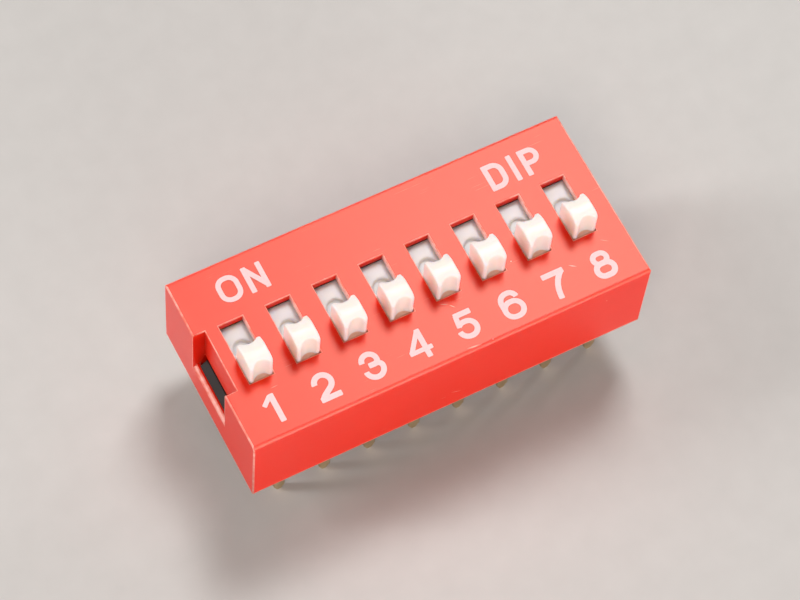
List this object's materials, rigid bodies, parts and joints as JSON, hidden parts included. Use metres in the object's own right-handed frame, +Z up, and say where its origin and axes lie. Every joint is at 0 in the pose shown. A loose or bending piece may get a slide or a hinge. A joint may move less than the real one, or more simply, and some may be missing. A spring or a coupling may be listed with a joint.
{
  "type": "dip switch",
  "caption": "Slide DIP switch: a row of small on/off slide switches with scooped knobs in one notched red body, standing on two rows of flat solder pins.",
  "frame": {"origin": "middle of the pin pattern, on the seating plane where the cover's rim meets the circuit board", "axes": "+X along the row from the first switch to the last, +Y towards the ON side, +Z up, out of the board"},
  "size_m": [0.0218, 0.0098, 0.0104],
  "materials": {
    "cover_red": "fine satin, moulded",
    "base_black": "matt, moulded",
    "slider_white": "smooth, moulded",
    "contact_gold": "gold plated",
    "terminal_metal": "gold plated, pins lightly dulled"
  },
  "bodies": {
    "housing": {"cover": "cover_red", "base": "base_black", "number_terminal_1": "terminal_metal", "number_terminal_2": "terminal_metal", "number_terminal_3": "terminal_metal", "number_terminal_4": "terminal_metal", "number_terminal_5": "terminal_metal", "number_terminal_6": "terminal_metal", "number_terminal_7": "terminal_metal", "number_terminal_8": "terminal_metal", "on_terminal_1": "terminal_metal", "on_terminal_2": "terminal_metal", "on_terminal_3": "terminal_metal", "on_terminal_4": "terminal_metal", "on_terminal_5": "terminal_metal", "on_terminal_6": "terminal_metal", "on_terminal_7": "terminal_metal", "on_terminal_8": "terminal_metal"},
    "switch_1": {"slider_1": "slider_white", "moving_contact_1": "contact_gold"},
    "switch_2": {"slider_2": "slider_white", "moving_contact_2": "contact_gold"},
    "switch_3": {"slider_3": "slider_white", "moving_contact_3": "contact_gold"},
    "switch_4": {"slider_4": "slider_white", "moving_contact_4": "contact_gold"},
    "switch_5": {"slider_5": "slider_white", "moving_contact_5": "contact_gold"},
    "switch_6": {"slider_6": "slider_white", "moving_contact_6": "contact_gold"},
    "switch_7": {"slider_7": "slider_white", "moving_contact_7": "contact_gold"},
    "switch_8": {"slider_8": "slider_white", "moving_contact_8": "contact_gold"}
  },
  "joints": [
    {"name": "switch_1_slide", "type": "slide", "parent": "housing", "child": "switch_1", "axis": [0, 1, 0], "range_m": [0, 0.0018]},
    {"name": "switch_2_slide", "type": "slide", "parent": "housing", "child": "switch_2", "axis": [0, 1, 0], "range_m": [0, 0.0018]},
    {"name": "switch_3_slide", "type": "slide", "parent": "housing", "child": "switch_3", "axis": [0, 1, 0], "range_m": [0, 0.0018]},
    {"name": "switch_4_slide", "type": "slide", "parent": "housing", "child": "switch_4", "axis": [0, 1, 0], "range_m": [0, 0.0018]},
    {"name": "switch_5_slide", "type": "slide", "parent": "housing", "child": "switch_5", "axis": [0, 1, 0], "range_m": [0, 0.0018]},
    {"name": "switch_6_slide", "type": "slide", "parent": "housing", "child": "switch_6", "axis": [0, 1, 0], "range_m": [0, 0.0018]},
    {"name": "switch_7_slide", "type": "slide", "parent": "housing", "child": "switch_7", "axis": [0, 1, 0], "range_m": [0, 0.0018]},
    {"name": "switch_8_slide", "type": "slide", "parent": "housing", "child": "switch_8", "axis": [0, 1, 0], "range_m": [0, 0.0018]}
  ]
}
